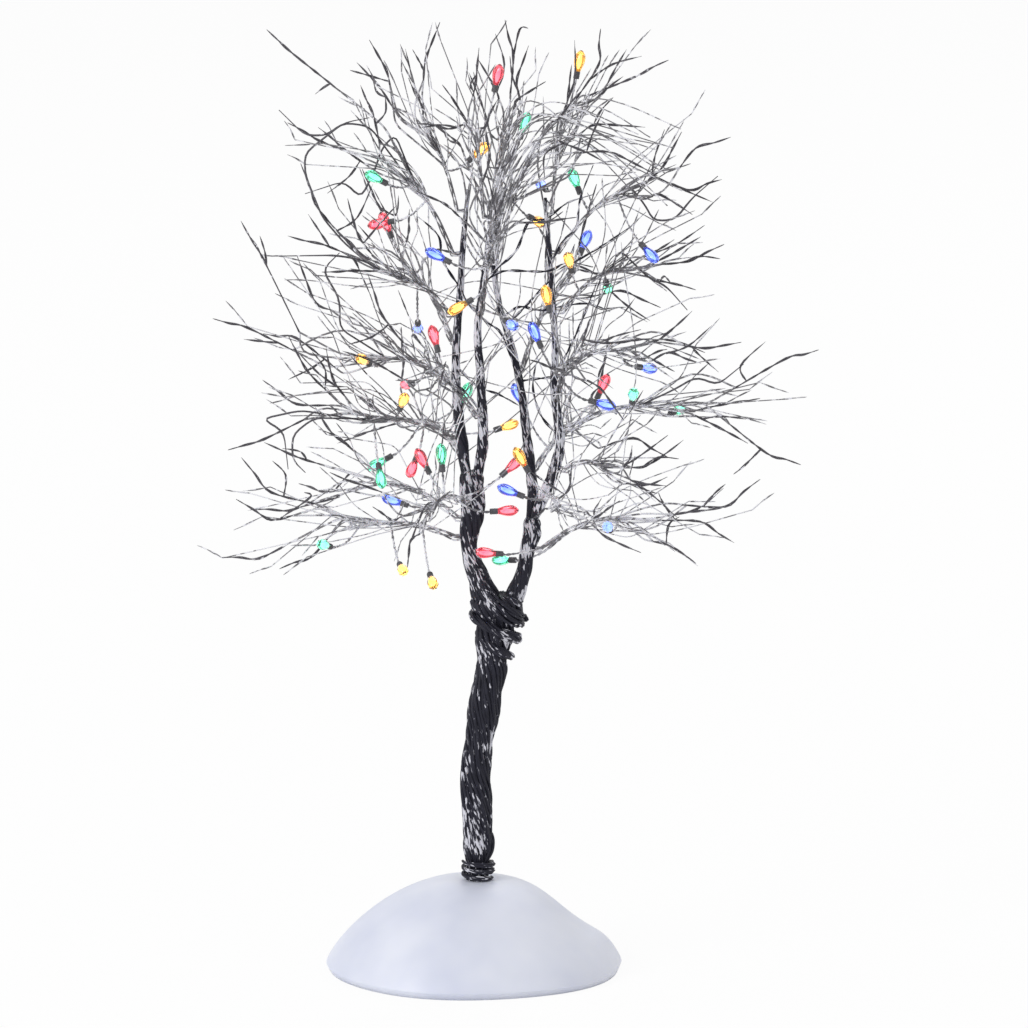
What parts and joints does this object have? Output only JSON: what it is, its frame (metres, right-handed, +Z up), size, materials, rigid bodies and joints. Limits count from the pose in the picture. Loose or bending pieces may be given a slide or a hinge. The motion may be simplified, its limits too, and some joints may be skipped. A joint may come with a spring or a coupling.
{
  "type": "lighted miniature tree",
  "caption": "Bare miniature tree of twisted wire boughs with coloured grain lamps, standing on a hollow snow-mound base that holds its battery cells, switch and door.",
  "frame": {"origin": "on the foot, under the trunk's axis where it meets the mound", "axes": "+X to the right seen from the front, +Y away from the front, +Z up along the trunk"},
  "size_m": [0.1448, 0.111, 0.2254],
  "materials": {
    "snow": "satin",
    "bark": "textured",
    "screw_steel": "satin",
    "spring_steel": "satin",
    "cell_jacket": "gloss",
    "contact_brass": "satin",
    "black_plastic": "satin",
    "board": "satin",
    "resistor_body": "satin",
    "black_insulation": "satin",
    "red_insulation": "satin",
    "lens_red": "gloss",
    "lens_green": "gloss",
    "lens_blue": "gloss",
    "lens_amber": "gloss"
  },
  "bodies": {
    "tree": {"snow_mound": "snow", "base_plate": "snow", "base_screws": "screw_steel", "battery_cell_left": "cell_jacket", "battery_cell_right": "cell_jacket", "contact_bridge": "contact_brass", "contact_negative": "contact_brass", "contact_positive": "contact_brass", "contact_spring_front": "spring_steel", "contact_spring_rear": "spring_steel", "switch_body": "black_plastic", "circuit_board": "board", "resistor": "resistor_body", "leads_negative": "black_insulation", "lead_positive": "red_insulation", "trunk": "bark", "left_leader": "bark", "right_leader": "bark", "stem_left": "bark", "stem_centre": "bark", "stem_inner": "bark", "stem_right": "bark", "foot_winding": "bark", "fork_winding": "bark", "bough_left_low": "bark", "bough_left_rear_low": "bark", "bough_left_mid": "bark", "bough_left_upper": "bark", "bough_left_high": "bark", "bough_upper_left": "bark", "bough_top_left": "bark", "bough_top_centre": "bark", "bough_top_rear": "bark", "bough_top_right": "bark", "bough_arch_right": "bark", "bough_right_high": "bark", "bough_right_upper": "bark", "bough_right_mid": "bark", "bough_right_out": "bark", "bough_right_low": "bark", "bough_right_inner": "bark", "bough_front_left": "bark", "bough_front_right": "bark", "bough_front_mid_left": "bark", "bough_front_mid_right": "bark", "bough_front_high": "bark", "bough_rear_left": "bark", "bough_rear_right": "bark", "bough_rear_mid_left": "bark", "bough_rear_mid_right": "bark", "bough_rear_high": "bark", "lamps_red": "lens_red", "lamps_green": "lens_green", "lamps_blue": "lens_blue", "lamps_amber": "lens_amber", "lamp_sleeves": "black_insulation"},
    "door": {"battery_door": "snow", "door_screw": "screw_steel"},
    "knob": {"switch_knob": "black_plastic"}
  },
  "joints": [
    {"name": "door_hinge", "type": "hinge", "parent": "tree", "child": "door", "pos_m": [0, 0.02495, 0.0004], "axis": [1, 0, 0], "range_deg": [0, 70]},
    {"name": "knob_slide", "type": "slide", "parent": "tree", "child": "knob", "axis": [0, -1, 0], "range_m": [0, 0.002]}
  ]
}
